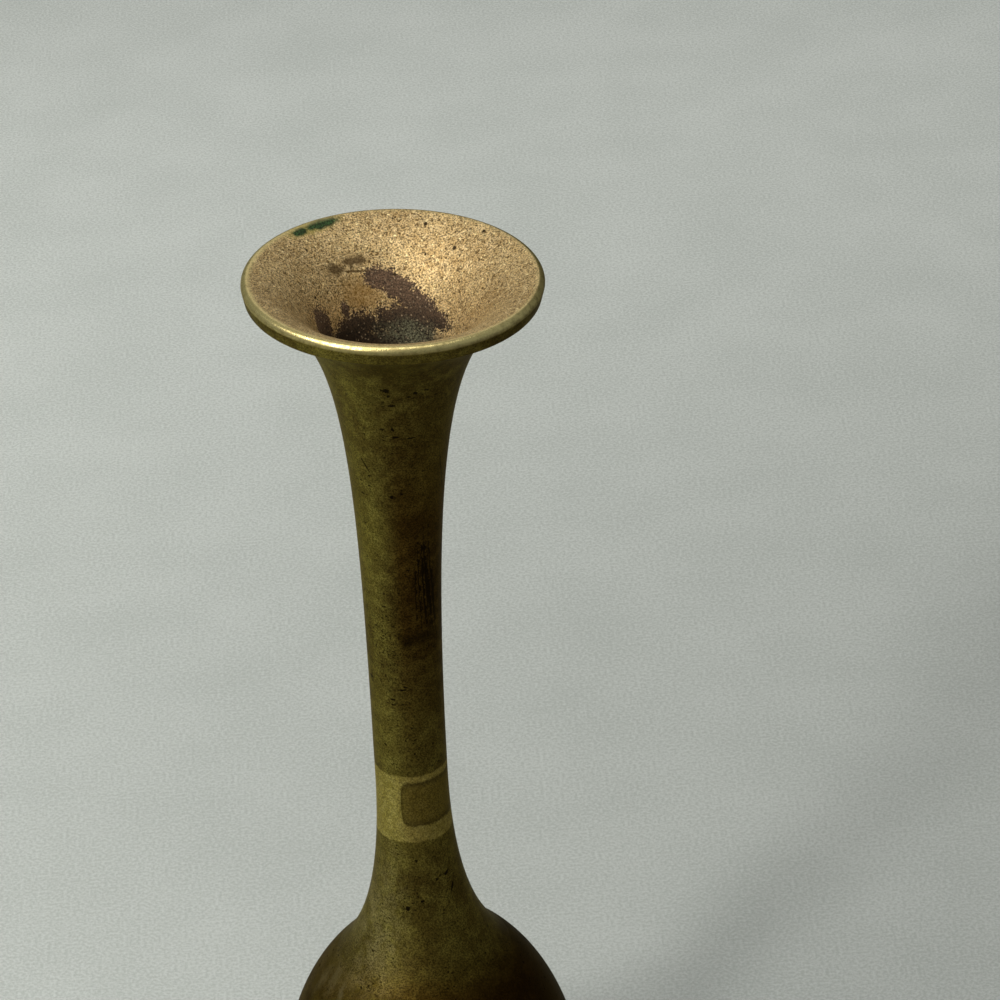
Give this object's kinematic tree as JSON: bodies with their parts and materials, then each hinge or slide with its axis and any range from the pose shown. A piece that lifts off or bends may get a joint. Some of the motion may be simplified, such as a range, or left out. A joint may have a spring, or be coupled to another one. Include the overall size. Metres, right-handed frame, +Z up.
{
  "type": "bud vase",
  "caption": "Long-necked brass bud vase with a wide trumpet mouth, a narrow bore, a round hollow body and a foot ring.",
  "frame": {"origin": "centre of the foot ring's underside, on the surface that the vase stands on", "axes": "+Z up along the body's axis, -Y towards the viewer of the picture, +X to the viewer's right, the side that the neck leans to"},
  "size_m": [0.0534, 0.052, 0.1894],
  "materials": {
    "neck_brass": "turned brass with a worn golden-olive patina, dark specks, brown stains and spots of verdigris in the mouth",
    "body_brass": "turned brass with a brown-olive patina and pale scuffs",
    "foot_brass": "turned brass, worn brighter on the edge it stands on",
    "disc_brass": "flat sheet brass, dull and unpolished",
    "braze_filler": "brazing brass as it flowed, slightly pale and dull"
  },
  "bodies": {
    "root": {"mouth_and_neck": "neck_brass", "neck_braze_ring": "braze_filler", "upper_body": "body_brass", "belly_braze_ring": "braze_filler", "lower_body": "body_brass", "foot_braze_ring": "braze_filler", "foot_ring": "foot_brass", "base_disc": "disc_brass", "base_braze_ring": "braze_filler"}
  },
  "joints": []
}
